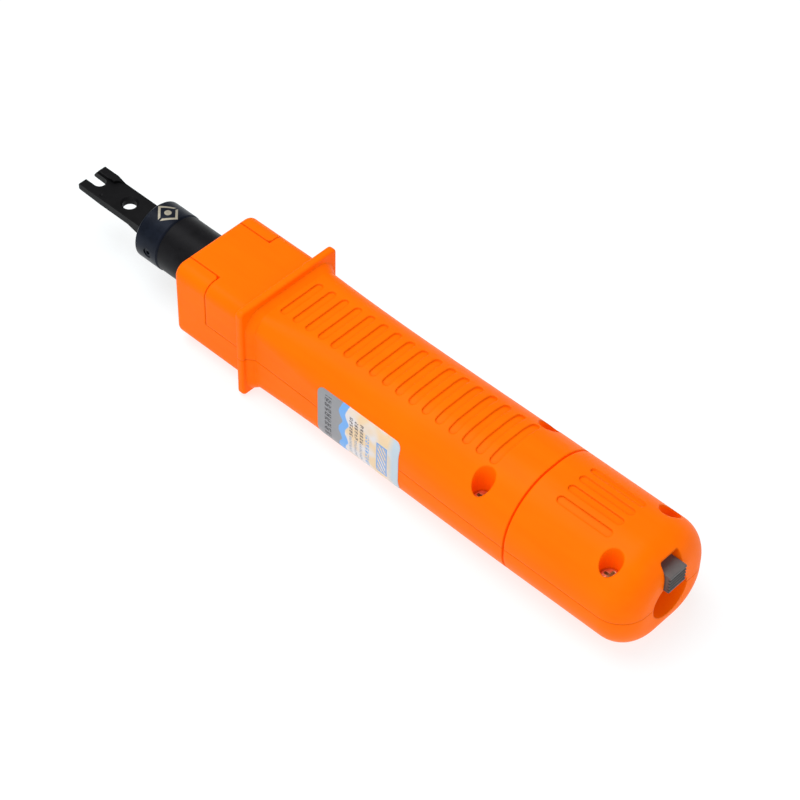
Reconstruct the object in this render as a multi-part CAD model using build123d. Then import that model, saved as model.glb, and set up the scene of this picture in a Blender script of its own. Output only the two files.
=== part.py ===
"""Impact punch down tool: hand tool that seats and trims a wire in a terminal block.

Working frame while modelling: X runs along the tool from the nose face (X = 0) to the tail,
Y is across the tool, Z is up, and the chuck axis is Y = Z = 0. Every node is moved at export
so that the origin is at the middle of the footprint, on the surface that the tool lies on.
All sizes are in millimetres.
"""
import os
from math import cos, radians, sin
from build123d import *

# ---------------------------------------------------------------- driving dimensions
# stations along the tool
blade_tip_x = -43.3
collar_front_x = -19.4
collar_rear_x = -11.8
nose_length = 22.4
guard_thickness = 1.95
body_end_x = 102.0
cap_start_x = 102.35
tail_x = 135.5
lever_rear_x = 136.8

# heights of the shells about the chuck axis
parting_z = -1.8
seam_gap = 0.08
ear_gap = 0.25
floor_z = -15.0
wall = 2.2

# nose block and finger guard
nose_half_width = 12.7
nose_top = 9.8
nose_bottom = -11.7
nose_radius = 3.2
ear_length = 10.0
ear_inner_y = 8.0
guard_half_width = 15.1
guard_top = 12.7
guard_bottom = -13.3
guard_radius = 1.2

# shallow finger grooves
groove_depth = 0.45
groove_width = 2.0
groove_count = 17
groove_first_x = 28.3
groove_last_x = 91.6
cap_groove_width = 1.9
cap_groove_front_x = 108.2
cap_groove_rear_x = 122.8
cap_groove_step_deg = 14.5

# screws, all vertical
screw_head_radius = 2.35
screw_head_height = 1.9
screw_shank_radius = 1.45
screw_length = 10.5
counterbore_radius = 2.5
screw_clearance = 0.05
body_screw_x = 92.4
body_screw_y = 10.5
body_screw_top_z = 3.1
cap_screw_x = 126.4
cap_screw_y = 9.4
cap_screw_top_z = 5.2
boss_radius = 3.7

# keyhole for the impact lever in the tail
keyhole_radius = 5.4
keyhole_z = -2.1
lever_slot_half_width = 2.85
lever_slot_top = 9.8

# barrel, chuck and blade
barrel_radius = 7.2
barrel_neck_radius = 6.2
collar_radius = 7.4
chuck_bore_radius = 3.55
blade_shank_radius = 3.5
blade_half_width = 3.9
blade_top_z = 2.0
cutter_height = 0.9
blade_slot_half_width = 1.6
blade_slot_end_x = -37.6
blade_hole_radius = 1.75
blade_countersink_radius = 2.25
detent_x = -15.0
bushing_radius = 8.3
bushing_bore_radius = 7.25
anvil_radius = 4.5
stem_radius = 1.9

# impact mechanism
barrel_travel = 10.0
hammer_radius = 6.6
hammer_front_x = 35.0
hammer_rear_x = 61.0
sleeve_bore_radius = 6.68
sleeve_radius = 7.6
latch_x = 44.2
latch_thickness = 2.4
latch_half_width = 3.0
latch_bottom_z = -7.6
latch_lift = 0.8
latch_hole_radius = 2.3
spring_mean_radius = 5.5
spring_wire_radius = 0.7
seat_x = 99.6
seat_radius = 8.0

# impact lever: a bell crank on a pivot pin
pivot_x = 116.0
pivot_z = 0.35
pivot_pin_radius = 1.5
lever_half_width = 2.63
lever_swing_deg = 24.0
crank_length = 7.6
crank_nose_radius = 2.0

guard_rear_x = nose_length + guard_thickness

# Sections of the handle: station, half width, top, bottom, top corner radius, bottom corner radius.
# The corners grow from nearly square behind the guard to almost round at the rear cap.
handle_sections = [
    (guard_rear_x, 12.7, 9.8, -12.0, 3.6, 3.0),
    (46.0, 13.2, 11.0, -13.3, 8.0, 6.8),
    (74.0, 14.1, 11.9, -14.2, 11.3, 9.5),
    (body_end_x, 14.8, 12.4, floor_z, 13.3, 11.6),
]
rear_section = handle_sections[-1]
neck_start_x = body_end_x - 3.5
neck_inset = 4.0

# label on the near side
label_x = 58.8
label_z = -2.15
label_length = 25.0
label_height = 15.1

# places worked out from the dimensions above
barrel_front_x = collar_front_x + 1.8
blade_hole_x = -28.8
blade_groove_radius = 3.0
cutter_inner_y = 1.95
cutter_rear_x = -34.4
ring_bore_radius = 8.0
ring_groove_radius = 6.6
anvil_x = hammer_front_x - 2.0
stem_end_x = latch_x - 1.2
ramp_front_x = 43.5
ramp_rear_x = 58.5
ramp_bottom_z = -10.6
cheek_inner_y = 3.5
cheek_outer_y = 6.8
crank_nose_x = pivot_x + crank_length * sin(radians(lever_swing_deg / 2))
crank_nose_z = pivot_z - crank_length * cos(radians(lever_swing_deg / 2))
foot_rear_x = crank_nose_x - crank_nose_radius - 0.08

# the footprint is centred on the origin
place = Pos(-(blade_tip_x + lever_rear_x) / 2, 0, -floor_z)


# ---------------------------------------------------------------- helpers
def block(x0, x1, y0, y1, z0, z1):
    """Box between two corners."""
    return Pos((x0 + x1) / 2, (y0 + y1) / 2, (z0 + z1) / 2) * Box(x1 - x0, y1 - y0, z1 - z0)


def rod(x0, x1, radius, y=0.0, z=0.0):
    """Cylinder along X."""
    return Pos((x0 + x1) / 2, y, z) * Rot(0, 90, 0) * Cylinder(radius, x1 - x0)


def post(x, y, z0, z1, radius):
    """Cylinder along Z."""
    return Pos(x, y, (z0 + z1) / 2) * Cylinder(radius, z1 - z0)


def cross_pin(x, z, y0, y1, radius):
    """Cylinder along Y."""
    return Pos(x, (y0 + y1) / 2, z) * Rot(90, 0, 0) * Cylinder(radius, y1 - y0)


def tube(x0, x1, outer, inner):
    """Tube along X."""
    return rod(x0, x1, outer) - rod(x0 - 1, x1 + 1, inner)


def rounded_section(x, half_width, top, bottom, top_radius, bottom_radius, inset=0.0):
    """Rounded rectangle across the tool at station x, drawn inwards by inset."""
    w = half_width - inset
    t = top - inset
    b = bottom + inset
    rt = top_radius - inset
    rb = bottom_radius - inset
    with BuildSketch(Plane.YZ.offset(x)) as section:
        with BuildLine():
            Line((w, b + rb), (w, t - rt))
            CenterArc((w - rt, t - rt), rt, 0, 90)
            Line((w - rt, t), (rt - w, t))
            CenterArc((rt - w, t - rt), rt, 90, 90)
            Line((-w, t - rt), (-w, b + rb))
            CenterArc((rb - w, b + rb), rb, 180, 90)
            Line((rb - w, b), (w - rb, b))
            CenterArc((w - rb, b + rb), rb, 270, 90)
        make_face()
    return section.sketch


def handle_solid(inset=0.0):
    """Handle between the guard and the rear cap, drawn inwards by inset."""
    return loft([rounded_section(*section, inset=inset) for section in handle_sections])


def coil(x0, x1, mean_radius, wire_radius, turns):
    """Compression spring along X: one turn of round wire, repeated."""
    pitch = (x1 - x0 - 2 * wire_radius) / turns
    path = Helix(pitch, pitch, mean_radius)
    start = Plane(path @ 0, z_dir=path % 0)
    one_turn = sweep(start * Circle(wire_radius), path=path)
    spring = one_turn
    for index in range(1, turns):
        spring += Pos(0, 0, pitch * index) * one_turn
    return Pos(x0 + wire_radius, 0, 0) * Rot(0, 90, 0) * spring


# ---------------------------------------------------------------- handle shells
def transverse_grooves():
    """Row of finger grooves across the handle, top and bottom, longer towards the rear."""
    core = handle_solid(groove_depth)
    grooves = []
    for index in range(groove_count):
        share = index / (groove_count - 1)
        x = groove_first_x + share * (groove_last_x - groove_first_x)
        length = 2 * (6.3 + 1.1 * share)
        outline = Pos(x, 0, -30) * SlotOverall(length, groove_width, rotation=90)
        grooves += (extrude(outline, 60) - core).solids()
    return grooves


def nose_block():
    """Square nose in front of the finger guard."""
    section = rounded_section(0, nose_half_width, nose_top, nose_bottom, nose_radius, nose_radius)
    nose = extrude(section, nose_length)
    return fillet(nose.edges().group_by(Axis.X)[0], 1.3)


def finger_guard():
    """Thin plate that stands out all round between nose and handle."""
    section = rounded_section(nose_length, guard_half_width, guard_top, guard_bottom,
                              guard_radius, guard_radius)
    plate = extrude(section, guard_thickness)
    rims = plate.edges().group_by(Axis.X)
    return fillet(rims[0] + rims[-1], 0.6)


def guard_root():
    """Small flare where the handle meets the guard."""
    flare = 1.3
    across = handle_sections[0][1:]
    wide = rounded_section(guard_rear_x, *across, inset=-flare)
    narrow = rounded_section(guard_rear_x + 1.5 * flare, *across, inset=0.02)
    return loft([wide, narrow])


def handle_cavity():
    """Room inside the handle, with a thicker rim where the cap's neck starts."""
    main = handle_solid(wall) & block(guard_rear_x, neck_start_x, -20, 20, -20, 20)
    rim = extrude(rounded_section(neck_start_x, *rear_section[1:], inset=neck_inset), 6.0)
    return main + rim


def barrel_passage():
    """Bores through the nose for the barrel, its bushing and the retaining ring."""
    front_hole = rod(-1, 3, barrel_radius + 0.45)
    bushing_seat = rod(2.0, 18.8, bushing_radius + 0.02)
    rear_bore = rod(18.0, guard_rear_x + 2, ring_bore_radius)
    return front_hole + bushing_seat + rear_bore


def rear_neck():
    """Spigot on the handle that the rear cap closes over."""
    outside = extrude(rounded_section(body_end_x - 1, *rear_section[1:], inset=wall + 0.15), 6.5)
    inside = extrude(rounded_section(body_end_x - 2, *rear_section[1:], inset=neck_inset), 9)
    return outside - inside


def sleeve_cradles(room):
    """Two cross walls that carry the guide sleeve."""
    cradles = []
    for x in (38.0, 80.0):
        wall_block = room & block(x, x + 2.2, -20, 20, -20, 20)
        cradles.append(wall_block - rod(x - 1, x + 4, sleeve_radius + 0.02))
    return cradles


def ramp_platform(room):
    """Pad in the lower shell that the trigger ramp stands on."""
    return room & block(ramp_front_x, ramp_rear_x, -4.5, 4.5, -20, ramp_bottom_z)


def screw_passage(x, y, top_z):
    """Counterbore and shank hole for one screw."""
    seat_z = top_z - screw_head_height
    head_room = post(x, y, seat_z, 20, counterbore_radius)
    shank_room = post(x, y, seat_z - screw_length - 0.5, seat_z + 1, screw_shank_radius + screw_clearance)
    return head_room + shank_room


def nose_corners(clearance, corner_radius=0.0):
    """Front corners of the nose, above the parting plane, that the lower shell wraps round."""
    inner = ear_inner_y - clearance
    rear = ear_length + clearance
    far_corner = block(-1, rear, inner, 16, parting_z - 1, 13)
    if corner_radius:
        upright = far_corner.edges().filter_by(Axis.Z).group_by(Axis.X)[-1].group_by(Axis.Y)[0]
        far_corner = fillet(upright, corner_radius)
    return far_corner + mirror(far_corner, Plane.XZ)


def handle_shells():
    """Upper and lower handle shells, with the nose corners on the lower one."""
    room = handle_solid(wall - 0.3)
    shell = nose_block() + finger_guard() + guard_root() + handle_solid()
    shell -= transverse_grooves()
    shell -= handle_cavity()
    shell -= barrel_passage()
    shell += rear_neck()
    shell += sleeve_cradles(room)
    shell += ramp_platform(room)
    for side in (-1, 1):
        y = side * body_screw_y
        shell += post(body_screw_x, y, -20, 20, boss_radius) & room
        shell -= screw_passage(body_screw_x, y, body_screw_top_z)
    above = block(-5, 120, -20, 20, parting_z, 20)
    below = block(-5, 120, -20, 20, -20, parting_z - seam_gap)
    upper = (shell & above) - nose_corners(ear_gap)
    lower = (shell & below) + (shell & nose_corners(0, 1.1))
    return upper, lower


# ---------------------------------------------------------------- rear cap
def cap_outer():
    """Outside of the rear cap: the handle's rear section with a well rounded end."""
    cap = extrude(rounded_section(cap_start_x, *rear_section[1:]), tail_x - cap_start_x)
    cap = fillet(cap.edges().group_by(Axis.X)[-1], 7.3)
    return fillet(cap.edges().group_by(Axis.X)[0], 0.35)


def cap_room(inset):
    """Inside of the rear cap, drawn inwards by inset."""
    length = tail_x - 2.6 - cap_start_x + 1
    room = extrude(rounded_section(cap_start_x - 1, *rear_section[1:], inset=inset), length)
    return fillet(room.edges().group_by(Axis.X)[-1], 4.0)


def cap_grooves():
    """Four grooves along the cap on its crown and four on its underside."""
    length = cap_groove_rear_x - cap_groove_front_x
    middle_x = (cap_groove_rear_x + cap_groove_front_x) / 2
    cutter = extrude(Pos(middle_x, 0, 0) * SlotOverall(length, cap_groove_width), 30)
    core = extrude(rounded_section(cap_start_x - 1, *rear_section[1:], inset=groove_depth), 40)
    grooves = []
    for step in (-1.5, -0.5, 0.5, 1.5):
        for turn in (0, 180):
            around = Rot(step * cap_groove_step_deg + turn, 0, 0)
            grooves += (Pos(0, 0, parting_z) * around * cutter - core).solids()
    return grooves


def keyhole():
    """Round hole for a fingertip, with a slot above it for the impact lever."""
    round_hole = rod(tail_x - 8, tail_x + 1, keyhole_radius, 0, keyhole_z)
    slot = block(tail_x - 8, tail_x + 1, -lever_slot_half_width, lever_slot_half_width,
                 keyhole_z, lever_slot_top)
    top_edges = slot.edges().filter_by(Axis.X).group_by(Axis.Z)[-1]
    return round_hole + fillet(top_edges, 0.6)


def lever_cheeks(z0, z1, room):
    """Part between two heights of the two walls in the cap that hold the lever's pivot pin."""
    far_cheek = block(pivot_x - 3.2, pivot_x + 3.2, cheek_inner_y, cheek_outer_y, z0, z1)
    near_cheek = block(pivot_x - 3.2, pivot_x + 3.2, -cheek_outer_y, -cheek_inner_y, z0, z1)
    pin_hole = cross_pin(pivot_x, pivot_z, -10, 10, pivot_pin_radius + 0.02)
    return ((far_cheek + near_cheek) & room) - pin_hole


def cap_shells():
    """Upper and lower halves of the rear cap, whose cheeks part at the pivot pin."""
    outer = cap_outer()
    room = cap_room(wall - 0.3)
    shell = outer - cap_grooves()
    shell -= cap_room(wall)
    shell += outer & block(tail_x - 6.3, tail_x - 1, -7.5, 7.5, -10.5, 12)
    for side in (-1, 1):
        y = side * cap_screw_y
        shell += post(cap_screw_x, y, -20, 20, boss_radius) & room
        shell -= screw_passage(cap_screw_x, y, cap_screw_top_z)
    shell -= keyhole()
    upper = shell & block(100, 140, -20, 20, parting_z, 20)
    lower = shell & block(100, 140, -20, 20, -20, parting_z - seam_gap)
    upper += lever_cheeks(pivot_z, 20, room)
    lower += lever_cheeks(-20, pivot_z - seam_gap, room)
    return upper, lower


# ---------------------------------------------------------------- fasteners and label
def screw(x, y, top_z):
    """Pan head screw with a cross recess, head up."""
    head_bottom = top_z - screw_head_height
    head = post(x, y, head_bottom, top_z, screw_head_radius)
    head = fillet(head.edges().group_by(Axis.Z)[-1], 0.6)
    shank = post(x, y, head_bottom - screw_length, head_bottom, screw_shank_radius)
    recess_length = 1.5
    recess_half_width = 0.38
    recess = block(x - recess_length, x + recess_length, y - recess_half_width, y + recess_half_width,
                   top_z - 1.1, top_z + 1)
    recess += block(x - recess_half_width, x + recess_half_width, y - recess_length, y + recess_length,
                    top_z - 1.1, top_z + 1)
    return head + shank - recess


def screw_pair(x, y, top_z):
    """The two screws of one joint as a group of separate solids."""
    return Compound(children=[screw(x, side * y, top_z) for side in (-1, 1)])


def side_label():
    """Thin sticker that follows the near side of the handle."""
    outline = RectangleRounded(label_length, label_height, 1.6)
    outline = Pos(label_x, 0, label_z) * Rot(90, 0, 0) * outline
    window = extrude(outline, 30)
    skin = handle_solid(-0.15) - handle_solid(-0.02)
    return skin & window


# ---------------------------------------------------------------- barrel, chuck and blade
def nose_bushing():
    """Guide bushing that the barrel slides in."""
    return tube(2.1, 18.7, bushing_radius, bushing_bore_radius)


def bumper_ring():
    """Rubber ring that takes the forward blow of the retaining ring."""
    return tube(18.85, 19.75, ring_bore_radius - 0.05, barrel_radius + 0.1)


def retaining_ring():
    """Open spring ring in the barrel's groove, which stops the barrel from leaving the nose."""
    ring = tube(19.85, 20.65, 7.6, ring_groove_radius + 0.02)
    return ring - block(19, 22, -2, 2, -9, 0)


def barrel():
    """Barrel with the chuck bore in front, and the anvil and stem behind."""
    solid = rod(collar_rear_x, 22.0, barrel_radius)
    solid += rod(barrel_front_x, collar_rear_x, barrel_neck_radius)
    solid = chamfer(solid.edges().group_by(Axis.X)[-1], 0.5)
    solid += rod(21.5, anvil_x, anvil_radius)
    solid += rod(anvil_x - 0.5, stem_end_x, stem_radius)
    solid -= rod(barrel_front_x - 1, -1.6, chuck_bore_radius)
    solid -= tube(19.83, 20.67, barrel_radius + 1, ring_groove_radius)
    solid -= cross_pin(detent_x, 0, -8, -3, 1.05)
    return solid


def chuck_collar():
    """Ring round the front of the barrel, with a radial hole for its set screw."""
    ring = tube(collar_front_x, collar_rear_x - 0.05, collar_radius, barrel_neck_radius + 0.02)
    rims = ring.edges().filter_by(GeomType.CIRCLE).group_by(SortBy.RADIUS)[-1]
    ring = chamfer(rims, 0.45)
    return ring - cross_pin(detent_x, 0, -9, -5, 1.25)


def collar_set_screw():
    """Set screw with a hex socket that holds the collar and backs the blade's detent."""
    body = cross_pin(detent_x, 0, -7.15, -6.25, 1.2)
    socket = extrude(Plane.XZ.offset(6.7) * Pos(detent_x, 0) * RegularPolygon(0.6, 6), 1)
    return body - socket


def detent_ball():
    """Ball that snaps into the blade shank's groove."""
    return Pos(detent_x, -(blade_groove_radius + 0.15 + 1.0), 0) * Sphere(1.0)


def detent_spring():
    """Small spring behind the detent ball."""
    spring = coil(0, 1.0, 0.6, 0.12, 3)
    return Pos(detent_x, -5.18, 0) * Rot(0, 0, -90) * spring


def reset_spring():
    """Light spring round the anvil that keeps the barrel clear of the hammer."""
    return coil(22.2, hammer_front_x - 0.2, anvil_radius + 0.85, 0.4, 6)


def punch_blade():
    """Forked blade, thin at its tip, with a round shank for the chuck."""
    rear_x = barrel_front_x - 0.05
    profile = Polyline(
        (blade_tip_x, 0.4), (-35.0, 0.0), (-25.5, 0.0), (-21.0, -1.2), (rear_x, -1.2),
        (rear_x, blade_top_z), (blade_tip_x + 1.1, blade_top_z), close=True,
    )
    plate = extrude(Plane.XZ * make_face(profile), blade_half_width, both=True)
    slot_centre_x = blade_slot_end_x - blade_slot_half_width
    plate -= block(blade_tip_x - 1, slot_centre_x, -blade_slot_half_width, blade_slot_half_width, -3, 3)
    plate -= post(slot_centre_x, 0, -3, 3, blade_slot_half_width)
    plate -= post(blade_hole_x, 0, -3, 3, blade_hole_radius)
    countersink_depth = blade_countersink_radius - blade_hole_radius
    countersink = Cone(blade_hole_radius, blade_countersink_radius, countersink_depth)
    plate -= Pos(blade_hole_x, 0, blade_top_z - countersink_depth / 2) * countersink
    plate -= Pos(-35.4, -2.8, blade_top_z + 0.6) * Sphere(0.85)
    plate -= prong_steps()
    shank = rod(rear_x, -2.2, blade_shank_radius)
    shank -= tube(detent_x - 1.3, detent_x + 1.3, blade_shank_radius + 1, blade_groove_radius)
    return plate + shank


def prong_steps():
    """Rounded outer corner of the near prong and the small step in each prong's end."""
    outer_radius = 1.5
    corner = block(blade_tip_x - 1, blade_tip_x + outer_radius, -5, outer_radius - blade_half_width, -3, 3)
    corner -= post(blade_tip_x + outer_radius, outer_radius - blade_half_width, -3, 3, outer_radius)
    near_step = block(blade_tip_x - 1, blade_tip_x + 0.55, -2.7, 0, -3, 3)
    far_step = block(blade_tip_x - 1, blade_tip_x + 0.35, 0, 2.3, -3, 3)
    return corner + near_step + far_step


def blade_cutter():
    """Raised cutter strip along the far prong, ending in a curved run-out."""
    straight_end_x = cutter_rear_x - 2.3
    run_out_radius = 2.3
    strip = block(blade_tip_x + 1.45, cutter_rear_x, cutter_inner_y, blade_half_width,
                  blade_top_z, blade_top_z + cutter_height)
    strip -= post(cutter_rear_x, cutter_inner_y - 0.3, 0, 5, run_out_radius - 0.4)
    ramp = block(straight_end_x, cutter_rear_x + 1, 0, 6, 0, 2)
    ramp = Pos(straight_end_x, 0, blade_top_z + cutter_height) * Rot(0, 21, 0) * Pos(-straight_end_x, 0, 0) * ramp
    strip -= ramp
    return chamfer(strip.edges().group_by(Axis.X)[0].group_by(Axis.Z)[-1], 0.4)


# ---------------------------------------------------------------- impact mechanism
def guide_sleeve():
    """Steel tube that guides the hammer, with a window for the latch."""
    window = block(ramp_front_x - 0.5, ramp_rear_x + 0.5, -3.4, 3.4, -9, -3)
    return tube(34.5, 84.0, sleeve_radius, sleeve_bore_radius) - window


def trigger_ramp():
    """Wedge below the sleeve that lifts the latch as the hammer moves back."""
    slope = latch_lift / barrel_travel
    contact_x = latch_x + latch_thickness
    top_end_x = contact_x + barrel_travel + 0.4
    contact_z = latch_bottom_z - 0.06
    front_z = contact_z + slope * (ramp_front_x - contact_x)
    end_z = contact_z + slope * (top_end_x - contact_x)
    outline = Polyline(
        (ramp_front_x, ramp_bottom_z), (ramp_rear_x, ramp_bottom_z), (ramp_rear_x, end_z),
        (top_end_x, end_z), (ramp_front_x, front_z), close=True,
    )
    return extrude(Plane.XZ * make_face(outline), 3.2, both=True)


def hammer():
    """Spring-driven hammer with a bore for the stem and a cross slot for the latch."""
    solid = rod(hammer_front_x, hammer_rear_x, hammer_radius)
    ends = solid.edges().group_by(Axis.X)
    solid = chamfer(ends[0] + ends[-1], 0.6)
    solid += rod(hammer_rear_x - 0.5, hammer_rear_x + 3.5, 4.2)
    solid -= rod(hammer_front_x - 1, hammer_front_x + 19, stem_radius + 0.25)
    return solid - block(latch_x - 0.1, latch_x + latch_thickness + 0.1,
                         -latch_half_width - 0.1, latch_half_width + 0.1, -8, 8)


def latch_plate():
    """Sliding plate whose offset hole holds the stem until the ramp centres it."""
    plate = block(latch_x, latch_x + latch_thickness, -latch_half_width, latch_half_width,
                  latch_bottom_z, 4.6)
    plate = chamfer(plate.edges().group_by(Axis.Z)[0].group_by(Axis.X)[-1], 0.5)
    return plate - rod(latch_x - 1, latch_x + latch_thickness + 1, latch_hole_radius, 0, -latch_lift)


def latch_spring():
    """Small spring that pushes the latch out again."""
    spring = coil(0, 1.75, 1.0, 0.15, 3)
    middle_x = latch_x + latch_thickness / 2
    return Pos(middle_x, 0, 4.65) * Rot(0, -90, 0) * spring


def main_spring():
    """Main compression spring behind the hammer."""
    return coil(hammer_rear_x + 0.1, seat_x - 1.0, spring_mean_radius, spring_wire_radius, 10)


def spring_washer():
    """Washer between the main spring and its seat."""
    return tube(seat_x - 0.9, seat_x - 0.05, 6.6, 2.6)


def spring_guide_rod():
    """Rod that keeps the main spring straight."""
    guide = rod(80.0, seat_x + 3.4, 2.5)
    return chamfer(guide.edges().group_by(Axis.X)[0], 0.6)


def adjuster_block():
    """Sliding seat of the main spring, with a foot that the lever's crank pushes."""
    disc = rod(seat_x, seat_x + 3.4, seat_radius)
    foot = block(seat_x + 1, foot_rear_x, -3.0, 3.0, -8.4, -5.0)
    return disc + foot - rod(seat_x - 1, seat_x + 5, 2.5)


# ---------------------------------------------------------------- impact lever
def lever_bar(length, angle_deg, thickness):
    """Bar from the pivot outwards, in the plane of the lever."""
    bar = block(0, length, -lever_half_width, lever_half_width, -thickness / 2, thickness / 2)
    return Pos(pivot_x, 0, pivot_z) * Rot(0, -angle_deg, 0) * bar


def impact_lever():
    """Bell crank: serrated thumb tip behind, crank with a round nose below the pivot."""
    tip_front_x = 131.6
    tip_top = 7.05
    tip_bottom = 2.25
    lever = cross_pin(pivot_x, pivot_z, -lever_half_width, lever_half_width, 4.0)
    lever += lever_bar(17.5, lever_swing_deg / 2, 3.6)
    lever += lever_bar(crank_length, lever_swing_deg / 2 - 90, 3.0)
    lever += cross_pin(crank_nose_x, crank_nose_z, -lever_half_width, lever_half_width, crank_nose_radius)
    tip = block(tip_front_x, lever_rear_x, -lever_half_width, lever_half_width, tip_bottom, tip_top)
    tip = fillet(tip.edges().filter_by(Axis.Y).group_by(Axis.X)[-1], 0.3)
    groove_count = 4
    pitch = (tip_top - tip_bottom) / (groove_count + 1)
    for index in range(1, groove_count + 1):
        z = tip_bottom + pitch * index
        tip -= Pos(lever_rear_x + 0.1, 0, z) * Rot(0, 45, 0) * Box(0.75, 8, 0.75)
    lever += tip
    return lever - cross_pin(pivot_x, pivot_z, -5, 5, pivot_pin_radius + 0.05)


def lever_pivot_pin():
    """Pin that the impact lever turns on."""
    return cross_pin(pivot_x, pivot_z, -cheek_outer_y + 0.1, cheek_outer_y - 0.1, pivot_pin_radius)


def lever_washer():
    """Friction washer beside the lever that keeps its setting."""
    ring = cross_pin(pivot_x, pivot_z, 2.72, cheek_inner_y - 0.05, 3.4)
    return ring - cross_pin(pivot_x, pivot_z, 2, 5, pivot_pin_radius + 0.05)


def main():
    """Build every node and write one STEP file for each."""
    upper_handle, lower_handle = handle_shells()
    upper_cap, lower_cap = cap_shells()
    nodes = {
        "upper_handle_shell": upper_handle,
        "lower_handle_shell": lower_handle,
        "upper_cap_shell": upper_cap,
        "lower_cap_shell": lower_cap,
        "handle_screws": screw_pair(body_screw_x, body_screw_y, body_screw_top_z),
        "cap_screws": screw_pair(cap_screw_x, cap_screw_y, cap_screw_top_z),
        "side_label": side_label(),
        "nose_bushing": nose_bushing(),
        "bumper_ring": bumper_ring(),
        "barrel": barrel(),
        "chuck_collar": chuck_collar(),
        "collar_set_screw": collar_set_screw(),
        "detent_ball": detent_ball(),
        "detent_spring": detent_spring(),
        "retaining_ring": retaining_ring(),
        "reset_spring": reset_spring(),
        "punch_blade": punch_blade(),
        "blade_cutter": blade_cutter(),
        "guide_sleeve": guide_sleeve(),
        "trigger_ramp": trigger_ramp(),
        "hammer": hammer(),
        "latch_plate": latch_plate(),
        "latch_spring": latch_spring(),
        "main_spring": main_spring(),
        "spring_washer": spring_washer(),
        "spring_guide_rod": spring_guide_rod(),
        "adjuster_block": adjuster_block(),
        "impact_lever": impact_lever(),
        "lever_pivot_pin": lever_pivot_pin(),
        "lever_washer": lever_washer(),
    }
    os.makedirs("parts", exist_ok=True)
    for name, shape in nodes.items():
        export_step(place * shape, f"parts/{name}.step")


main()
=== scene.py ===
"""Looks of the punch down tool: materials, label, floor, light and camera around the CAD frame.

Lengths are in metres in the row frame; mm() turns millimetres into metres.
"""
import math

import bpy
from mathutils import Matrix, Vector

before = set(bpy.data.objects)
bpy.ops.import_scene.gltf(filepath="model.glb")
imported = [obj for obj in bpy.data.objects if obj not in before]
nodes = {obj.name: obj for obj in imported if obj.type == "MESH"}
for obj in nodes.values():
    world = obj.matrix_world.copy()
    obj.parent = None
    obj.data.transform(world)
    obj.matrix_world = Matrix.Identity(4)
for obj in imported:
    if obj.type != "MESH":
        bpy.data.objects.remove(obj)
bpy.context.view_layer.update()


def mm(value):
    """Millimetres to metres."""
    return value * 0.001


def srgb(red, green, blue):
    """Linear colour from 0-255 display values."""
    return tuple((value / 255.0) ** 2.2 for value in (red, green, blue))


def local_box(name):
    """Corners of a CAD node in its own coordinates."""
    points = [vertex.co for vertex in nodes[name].data.vertices]
    low = tuple(min(point[axis] for point in points) for axis in range(3))
    high = tuple(max(point[axis] for point in points) for axis in range(3))
    return low, high


# ---------------------------------------------------------------- driving values
shell_names = ("upper_handle_shell", "lower_handle_shell", "upper_cap_shell", "lower_cap_shell")
shell_edge_radius = mm(0.6)
steel_edge_radius = mm(0.12)
blade_edge_radius = mm(0.10)

# Serrations of the lever's rear face, counted down from the top of its tip; their shadowed grooves are
# painted as dark shade lines.
serration_pitch = mm(0.96)
serration_top = mm(0.4)
serration_bottom = mm(4.4)

# Etched mark on top of the collar: a diamond outline, open at both ends, round a dot.
mark_along = mm(0.1)
mark_across = mm(0.2)
mark_inner_reach = mm(2.45)
mark_outer_reach = mm(3.25)
mark_half_gap = mm(0.28)
mark_dot_radius = mm(0.85)
mark_softness = mm(0.07)

# Label: shares of its length (u) from the nose end, and of its height (v) from below.
label_softness = 0.004
grey_end_u = 0.31
blue_wave_u = (0.28, 0.39)
pale_end_u = (0.86, 0.93)
block_column = (0.09, 0.172, 0.07, 0.93)
line_columns = ((0.40, 0.86), (0.465, 0.84), (0.53, 0.86))
upper_line_v = 0.48
lower_line_v = (0.10, 0.46)
blue_column = (0.60, 0.645, 0.10, 0.74)
box_outside = (0.735, 0.865, 0.16, 0.76)
box_inside = (0.75, 0.85, 0.19, 0.73)

floor_half_size = 6.0
floor_gap = 0.00002


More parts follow.
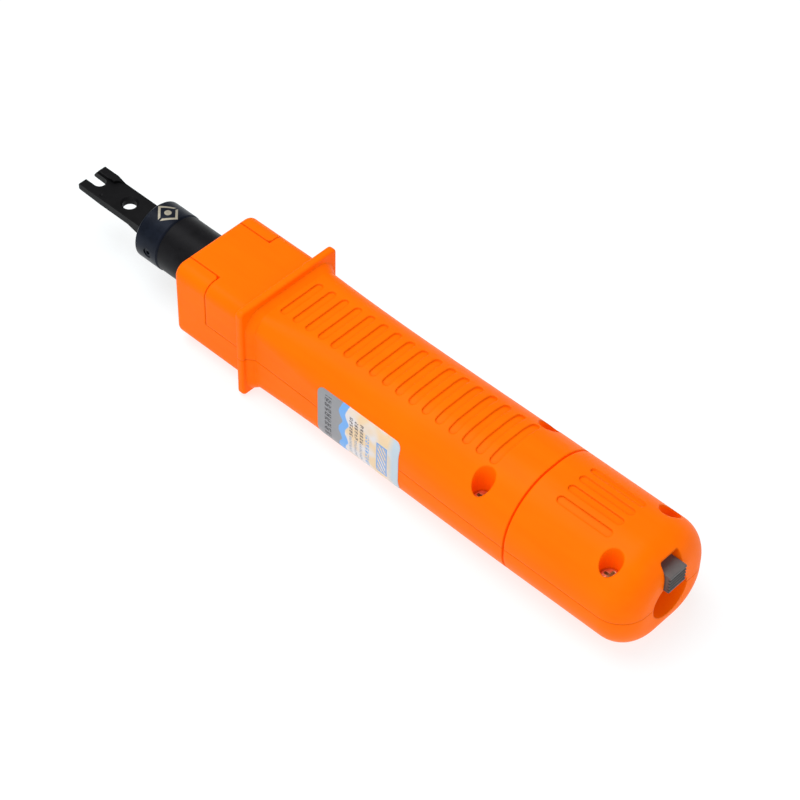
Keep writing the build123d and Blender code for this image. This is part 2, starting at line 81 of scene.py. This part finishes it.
# ---------------------------------------------------------------- node helpers
class Graph:
    """A material's node tree, with short calls for the nodes used here."""

    def __init__(self, name):
        self.material = bpy.data.materials.new(name)
        self.material.use_nodes = True
        self.tree = self.material.node_tree
        self.tree.nodes.clear()
        self.output = self.tree.nodes.new("ShaderNodeOutputMaterial")
        self.shader = self.tree.nodes.new("ShaderNodeBsdfPrincipled")
        self.tree.links.new(self.shader.outputs["BSDF"], self.output.inputs["Surface"])

    def put(self, socket, value):
        """Link a socket to another, or set its value."""
        if isinstance(value, bpy.types.NodeSocket):
            self.tree.links.new(value, socket)
        elif isinstance(value, (tuple, list)) and len(value) == 3 and socket.type == "RGBA":
            socket.default_value = (*value, 1.0)
        else:
            socket.default_value = value

    def set(self, **inputs):
        """Set inputs of the Principled shader; underscores stand for spaces."""
        for key, value in inputs.items():
            self.put(self.shader.inputs[key.replace("_", " ")], value)

    def place(self):
        """Position in the object's own coordinates, in metres."""
        return self.tree.nodes.new("ShaderNodeTexCoord").outputs["Object"]

    def scaled(self, vector, scale):
        """Vector with each part multiplied by scale."""
        node = self.tree.nodes.new("ShaderNodeVectorMath")
        node.operation = "MULTIPLY"
        self.put(node.inputs[0], vector)
        node.inputs[1].default_value = scale
        return node.outputs[0]

    def parts(self, vector):
        """X, Y and Z of a vector."""
        node = self.tree.nodes.new("ShaderNodeSeparateXYZ")
        self.put(node.inputs[0], vector)
        return node.outputs[0], node.outputs[1], node.outputs[2]

    def joined(self, x, y, z):
        """Vector from three values."""
        node = self.tree.nodes.new("ShaderNodeCombineXYZ")
        for socket, value in zip(node.inputs, (x, y, z)):
            self.put(socket, value)
        return node.outputs[0]

    def calc(self, operation, a, b=0.0, c=0.0, clamp=False):
        """One math node."""
        node = self.tree.nodes.new("ShaderNodeMath")
        node.operation = operation
        node.use_clamp = clamp
        for socket, value in zip(node.inputs, (a, b, c)):
            self.put(socket, value)
        return node.outputs[0]

    def noise(self, vector, scale, detail=2.0, roughness=0.5):
        """Noise between 0 and 1."""
        node = self.tree.nodes.new("ShaderNodeTexNoise")
        self.put(node.inputs["Vector"], vector)
        node.inputs["Scale"].default_value = scale
        node.inputs["Detail"].default_value = detail
        node.inputs["Roughness"].default_value = roughness
        return node.outputs[0]

    def spread(self, value, low, high, to_low, to_high):
        """Value remapped from one range to another, clamped."""
        node = self.tree.nodes.new("ShaderNodeMapRange")
        for socket, part in zip(node.inputs, (value, low, high, to_low, to_high)):
            self.put(socket, part)
        return node.outputs[0]

    def blend(self, share, first, second):
        """Colour mixed from first to second by share."""
        node = self.tree.nodes.new("ShaderNodeMix")
        node.data_type = "RGBA"
        self.put(node.inputs[0], share)
        self.put(node.inputs[6], first)
        self.put(node.inputs[7], second)
        return node.outputs[2]

    def bump(self, height, strength, distance, normal=None):
        """Surface normal tilted by a height."""
        node = self.tree.nodes.new("ShaderNodeBump")
        node.inputs["Strength"].default_value = strength
        node.inputs["Distance"].default_value = distance
        self.put(node.inputs["Height"], height)
        if normal is not None:
            self.put(node.inputs["Normal"], normal)
        return node.outputs[0]

    def soft_edges(self, radius):
        """Normal with its sharp edges rounded over radius."""
        node = self.tree.nodes.new("ShaderNodeBevel")
        node.samples = 6
        node.inputs["Radius"].default_value = radius
        return node.outputs[0]

    def inside(self, value, low, high, softness):
        """1 between low and high, 0 outside, with a soft step."""
        rising = self.spread(value, low - softness, low + softness, 0.0, 1.0)
        falling = self.spread(value, high - softness, high + softness, 1.0, 0.0)
        return self.calc("MULTIPLY", rising, falling)


# ---------------------------------------------------------------- materials
def shell_plastic():
    """Bright orange moulded plastic with a fine eroded grain, slight flow marks and a faint painted
    orange glow.
    """
    g = Graph("shell_orange")
    at = g.place()
    patches = g.noise(at, 38.0, 3.0)
    streaks = g.noise(g.scaled(at, (60.0, 420.0, 420.0)), 1.0, 3.0)
    tone = g.calc("ADD", g.calc("MULTIPLY", patches, 0.6), g.calc("MULTIPLY", streaks, 0.4))
    tone = g.spread(tone, 0.35, 0.65, 0.0, 1.0)
    g.set(Base_Color=g.blend(tone, (0.94, 0.146, 0.0002), (0.99, 0.164, 0.0004)))
    grain = g.noise(at, 2400.0, 2.0, 0.6)
    waves = g.noise(at, 170.0, 1.0)
    scuffs = g.spread(g.noise(at, 900.0, 4.0, 0.7), 0.60, 0.72, 0.0, 0.10)
    g.set(Roughness=g.calc("ADD", g.spread(grain, 0.3, 0.7, 0.36, 0.43), scuffs))
    normal = g.soft_edges(shell_edge_radius)
    normal = g.bump(waves, 0.10, mm(0.30), normal)
    g.set(Normal=g.bump(grain, 0.16, mm(0.03), normal), IOR=1.5, Specular_IOR_Level=0.04)
    # Painted glow: a faint orange emission brightens the plastic everywhere, its shaded sides
    # included.
    g.set(Emission_Color=(1.0, 0.12, 0.0), Emission_Strength=0.14)
    return g.material


def turned_steel(name, dark, light, roughness, metallic, ring_scale, edge=steel_edge_radius):
    """Blackened steel turned on a lathe about the X axis, with random lighter specks and slightly
    rounded edges.
    """
    g = Graph(name)
    at = g.place()
    x, y, z = g.parts(at)
    rings = g.noise(g.joined(g.calc("MULTIPLY", x, ring_scale), 0.0, 0.0), 1.0, 4.0, 0.7)
    blotch = g.noise(at, 260.0, 4.0, 0.6)
    specks = g.spread(g.noise(at, 1900.0, 3.0, 0.6), 0.66, 0.74, 0.0, 1.0)
    tone = g.calc("MULTIPLY_ADD", specks, 0.35, g.spread(blotch, 0.3, 0.7, 0.0, 0.75))
    g.set(Base_Color=g.blend(tone, dark, light), Metallic=metallic, Specular_IOR_Level=0.14)
    g.set(Roughness=g.calc("ADD", g.spread(blotch, 0.3, 0.7, roughness - 0.05, roughness + 0.06),
                           g.calc("MULTIPLY", rings, 0.08)))
    normal = g.soft_edges(edge)
    g.set(Normal=g.bump(rings, 0.45, mm(0.03), normal))
    return g


def collar_steel():
    """Blued collar steel with a generic etched mark on top: a diamond outline round a dot."""
    g = turned_steel("collar_black", (0.003, 0.005, 0.011), (0.010, 0.015, 0.028), 0.34, 0.25, 7000.0)
    low, high = local_box("chuck_collar")
    x, y, z = g.parts(g.place())
    along = g.calc("SUBTRACT", x, (low[0] + high[0]) / 2 + mark_along)
    radius = (high[2] - low[2]) / 2
    sideways = g.calc("SUBTRACT", y, (low[1] + high[1]) / 2)
    upwards = g.calc("SUBTRACT", z, (low[2] + high[2]) / 2)
    round_it = g.calc("MULTIPLY", g.calc("ARCTAN2", sideways, upwards), radius)
    across = g.calc("SUBTRACT", round_it, mark_across)
    reach = g.calc("ADD", g.calc("ABSOLUTE", along), g.calc("ABSOLUTE", across))
    outline = g.inside(reach, mark_inner_reach, mark_outer_reach, mark_softness)
    gap = g.inside(g.calc("ABSOLUTE", along), mark_half_gap, mm(9.0), mark_softness)
    squared = g.calc("ADD", g.calc("MULTIPLY", along, along), g.calc("MULTIPLY", across, across))
    dot = g.inside(g.calc("SQRT", squared), mm(-1.0), mark_dot_radius, mark_softness)
    mark = g.calc("MAXIMUM", g.calc("MULTIPLY", outline, gap), dot)
    wear = g.spread(g.noise(g.place(), 1500.0, 3.0, 0.6), 0.25, 0.5, 0.7, 1.0)
    steel = g.shader.inputs["Base Color"].links[0].from_socket
    g.set(Base_Color=g.blend(g.calc("MULTIPLY", mark, wear), steel, srgb(172, 165, 148)))
    return g.material


def plain_metal(name, colour, roughness, grain_scale=1500.0):
    """Bright metal with fine grain and slight dulling."""
    g = Graph(name)
    at = g.place()
    patches = g.noise(at, 420.0, 4.0, 0.6)
    fine = g.noise(at, grain_scale, 3.0, 0.6)
    darker = tuple(0.72 * c for c in colour)
    g.set(Base_Color=g.blend(g.spread(patches, 0.35, 0.65, 0.0, 1.0), darker, colour), Metallic=1.0)
    g.set(Roughness=g.spread(fine, 0.3, 0.7, roughness - 0.06, roughness + 0.08))
    g.set(Normal=g.bump(fine, 0.15, mm(0.015), g.soft_edges(mm(0.08))))
    return g.material


def plain_plastic(name, dark, light, roughness):
    """Moulded plastic with a fine grain."""
    g = Graph(name)
    at = g.place()
    patches = g.noise(at, 300.0, 3.0)
    grain = g.noise(at, 3200.0, 2.0, 0.6)
    g.set(Base_Color=g.blend(g.spread(patches, 0.3, 0.7, 0.0, 1.0), dark, light))
    g.set(Roughness=g.spread(grain, 0.3, 0.7, roughness - 0.05, roughness + 0.07))
    g.set(Normal=g.bump(grain, 0.2, mm(0.02), g.soft_edges(mm(0.12))))
    return g.material


def label_print():
    """Generic label: grey end with dark blocks, blue wave, columns of bars, a striped box."""
    g = Graph("label_print")
    low, high = local_box("side_label")
    at = g.place()
    x, y, z = g.parts(at)
    u = g.spread(x, low[0], high[0], 0.0, 1.0)
    v = g.spread(z, low[2], high[2], 0.0, 1.0)

    def patch(u_low, u_high, v_low, v_high):
        """1 inside a rectangle of the label."""
        return g.calc("MULTIPLY", g.inside(u, u_low, u_high, label_softness),
                      g.inside(v, v_low, v_high, label_softness))

    def bars(count, fill):
        """1 on count bars stacked up the label."""
        step = g.calc("FRACT", g.calc("MULTIPLY", v, count))
        return g.inside(step, 0.5 - fill / 2, 0.5 + fill / 2, 0.04)

    def column(u_low, u_high, v_low, v_high, count, fill=0.72):
        """1 on a column of bars whose ends are ragged."""
        ragged = g.spread(g.noise(g.joined(x, 0.0, z), 2600.0, 1.0), 0.40, 0.50, 0.0, 1.0)
        stack = g.calc("MULTIPLY", patch(u_low, u_high, v_low, v_high), bars(count, fill))
        return g.calc("MULTIPLY", stack, ragged)

    wave = g.calc("ADD", g.calc("MULTIPLY", g.calc("SINE", g.calc("MULTIPLY", v, 17.0)), 0.022),
                  g.calc("MULTIPLY", g.noise(g.joined(0.0, 0.0, z), 420.0, 1.0), 0.05))
    shifted = g.calc("ADD", u, wave)
    clouds = g.spread(g.noise(g.joined(x, 0.0, z), 190.0, 1.0), 0.40, 0.56, 0.0, 1.0)
    colour = g.blend(clouds, srgb(228, 222, 222), srgb(238, 208, 168))
    colour = g.blend(g.inside(shifted, *blue_wave_u, label_softness), colour, srgb(112, 172, 240))
    colour = g.blend(g.inside(shifted, -0.5, grey_end_u, label_softness), colour, srgb(146, 147, 151))
    colour = g.blend(g.spread(u, *pale_end_u, 0.0, 1.0), colour, srgb(192, 208, 220))
    colour = g.blend(column(*block_column, 10.0), colour, srgb(70, 70, 74))
    for u_low, v_high in line_columns:
        large = column(u_low, u_low + 0.042, upper_line_v, v_high, 15.0)
        small = column(u_low, u_low + 0.030, *lower_line_v, 26.0)
        colour = g.blend(large, colour, srgb(96, 88, 90))
        colour = g.blend(small, colour, srgb(150, 160, 180))
    colour = g.blend(column(*blue_column, 14.0), colour, srgb(120, 170, 225))
    frame_box = g.calc("SUBTRACT", patch(*box_outside), patch(*box_inside))
    slant = g.calc("FRACT", g.calc("ADD", g.calc("MULTIPLY", u, 24.0), g.calc("MULTIPLY", v, 9.0)))
    stripes = g.calc("MULTIPLY", patch(*box_inside), g.inside(slant, 0.25, 0.70, 0.05))
    colour = g.blend(g.calc("MAXIMUM", frame_box, stripes), colour, srgb(105, 160, 225))
    g.set(Base_Color=colour, Roughness=g.spread(g.noise(at, 500.0, 3.0), 0.3, 0.7, 0.30, 0.42))
    g.set(Normal=g.bump(g.noise(at, 130.0, 2.0), 0.08, mm(0.2)), Specular_IOR_Level=0.35)
    return g.material


def lever_plastic():
    """Grey plastic, with painted shade lines standing in for the shadowed serrations of the lever's
    rear face.
    """
    g = Graph("lever_grey")
    low, high = local_box("impact_lever")
    at = g.place()
    x, y, z = g.parts(at)
    tone = g.spread(g.noise(at, 300.0, 3.0), 0.3, 0.7, 0.0, 1.0)
    colour = g.blend(tone, (0.112, 0.103, 0.102), (0.145, 0.134, 0.132))
    behind = g.inside(x, high[0] - mm(0.6), high[0] + mm(1.0), mm(0.1))
    below = g.inside(z, high[2] - serration_bottom, high[2] - serration_top, mm(0.05))
    # Painted shade: dark bands where the serration grooves of the rear face fall into shadow.
    step = g.calc("FRACT", g.calc("DIVIDE", g.calc("SUBTRACT", high[2], z), serration_pitch))
    serration_shade = g.calc("SUBTRACT", 1.0, g.inside(step, 0.30, 0.70, 0.10))
    share = g.calc("MULTIPLY", g.calc("MULTIPLY", behind, below), g.calc("MULTIPLY", serration_shade, 0.75))
    g.set(Base_Color=g.blend(share, colour, (0.040, 0.037, 0.037)), Roughness=0.5)
    grain = g.noise(at, 3200.0, 2.0, 0.6)
    g.set(Normal=g.bump(grain, 0.2, mm(0.02), g.soft_edges(mm(0.10))), Specular_IOR_Level=0.3)
    return g.material


def assign(name, material):
    """Give a CAD node one material."""
    slots = nodes[name].data.materials
    slots.clear()
    slots.append(material)


orange = shell_plastic()
for shell in shell_names:
    assign(shell, orange)

barrel = turned_steel("barrel_black", (0.0025, 0.0025, 0.0035), (0.009, 0.009, 0.011),
                      0.40, 0.20, 9000.0)
assign("barrel", barrel.material)
collar = collar_steel()
assign("chuck_collar", collar)
assign("collar_set_screw", collar)
blade = turned_steel("blade_black", (0.0015, 0.0015, 0.002), (0.0055, 0.0055, 0.0065),
                     0.46, 0.15, 3000.0, blade_edge_radius)
assign("punch_blade", blade.material)
assign("blade_cutter", blade.material)

screw_metal = plain_metal("screw_steel", (0.80, 0.62, 0.42), 0.34)
bright = plain_metal("hardened_steel", (0.50, 0.50, 0.52), 0.28)
zinc = plain_metal("zinc_steel", (0.62, 0.63, 0.66), 0.34)
spring = plain_metal("spring_steel", (0.55, 0.56, 0.58), 0.26)
bronze = plain_metal("bushing_bronze", (0.62, 0.42, 0.20), 0.38)
acetal = plain_plastic("acetal_white", (0.70, 0.70, 0.67), (0.78, 0.78, 0.75), 0.40)
grey = lever_plastic()
rubber = plain_plastic("bumper_rubber", (0.010, 0.010, 0.010), (0.018, 0.018, 0.018), 0.70)
print_slot = label_print()

plain = {
    screw_metal: ("handle_screws", "cap_screws"),
    bright: ("detent_ball", "retaining_ring", "trigger_ramp", "hammer"),
    zinc: ("guide_sleeve", "latch_plate", "spring_washer", "spring_guide_rod", "lever_pivot_pin"),
    spring: ("detent_spring", "reset_spring", "latch_spring", "main_spring", "lever_washer"),
    bronze: ("nose_bushing",),
    acetal: ("adjuster_block",),
    grey: ("impact_lever",),
    rubber: ("bumper_ring",),
    print_slot: ("side_label",),
}
for material, names in plain.items():
    for name in names:
        assign(name, material)


# ---------------------------------------------------------------- floor, light and camera
def support_slope():
    """Slope of the plane that touches the tool's underside at its tail and below its guard."""
    undersides = ("lower_handle_shell", "lower_cap_shell")
    low = [v.co for name in undersides for v in nodes[name].data.vertices]
    ground = min(v.z for v in low)
    heel = max(v.x for v in low if v.z < ground + 1e-5)
    slope = min((v.z - ground) / (heel - v.x) for v in low if v.x < heel - 0.04)
    return heel, ground, slope


def make_floor():
    """Pale floor under the tool, tilted by about a degree so that the tool rests on guard and tail."""
    heel, ground, slope = support_slope()
    size = floor_half_size
    mesh = bpy.data.meshes.new("floor")
    corners = [(-size, -size, 0), (size, -size, 0), (size, size, 0), (-size, size, 0)]
    mesh.from_pydata(corners, [], [(0, 1, 2, 3)])
    floor = bpy.data.objects.new("floor", mesh)
    bpy.context.scene.collection.objects.link(floor)
    tilt = Matrix.Rotation(math.atan(slope), 4, "Y")
    floor.matrix_world = Matrix.Translation((heel, 0, ground - floor_gap)) @ tilt
    g = Graph("floor_white")
    cloud = g.noise(g.place(), 6.0, 2.0)
    g.set(Base_Color=g.blend(cloud, (0.25, 0.28, 0.29), (0.27, 0.30, 0.31)), Roughness=0.70)
    g.set(Emission_Color=(1.0, 1.0, 1.0), Emission_Strength=0.76, Specular_IOR_Level=0.05)
    mesh.materials.append(g.material)
    return floor


def area_light(name, place, target, width, height, power):
    """Soft box at place, turned to target."""
    light = bpy.data.lights.new(name, "AREA")
    light.shape = "RECTANGLE"
    light.size = width
    light.size_y = height
    light.energy = power
    lamp = bpy.data.objects.new(name, light)
    bpy.context.scene.collection.objects.link(lamp)
    lamp.location = place
    lamp.rotation_euler = (Vector(target) - Vector(place)).to_track_quat("-Z", "Y").to_euler()
    return lamp


def make_light():
    """White surroundings and three soft boxes."""
    world = bpy.data.worlds.new("studio")
    world.use_nodes = True
    background = world.node_tree.nodes["Background"]
    background.inputs["Color"].default_value = (1.0, 1.0, 1.0, 1.0)
    background.inputs["Strength"].default_value = 0.36
    bpy.context.scene.world = world
    middle = (0.0, 0.0, 0.015)
    area_light("key", (-0.20, -0.10, 0.85), middle, 0.7, 0.7, 5.8)
    area_light("fill_near", (0.05, -0.75, 0.45), middle, 0.9, 0.5, 1.9)
    area_light("fill_tail", (0.75, 0.10, 0.35), middle, 0.5, 0.5, 1.0)


def make_camera():
    """Camera above the near side, looking down along the tool."""
    azimuth = math.radians(42.18)
    elevation = math.radians(47.14)
    roll = math.radians(1.59)
    right = Vector((math.cos(azimuth), math.sin(azimuth), 0))
    up = Vector((-math.sin(azimuth) * math.sin(elevation), math.cos(azimuth) * math.sin(elevation),
                 math.cos(elevation)))
    back = right.cross(up)
    rolled_right = right * math.cos(roll) + up * math.sin(roll)
    rolled_up = up * math.cos(roll) - right * math.sin(roll)
    turn = Matrix((rolled_right, rolled_up, back)).transposed().to_4x4()
    lens = bpy.data.cameras.new("camera")
    lens.sensor_width = 36.0
    lens.lens = 117.0
    lens.clip_start = 0.01
    lens.clip_end = 50.0
    camera = bpy.data.objects.new("camera", lens)
    bpy.context.scene.collection.objects.link(camera)
    camera.matrix_world = Matrix.Translation((mm(273.11), mm(-288.37), mm(434.12))) @ turn
    bpy.context.scene.camera = camera


make_floor()
make_light()
make_camera()
bpy.context.scene.view_settings.view_transform = "Standard"
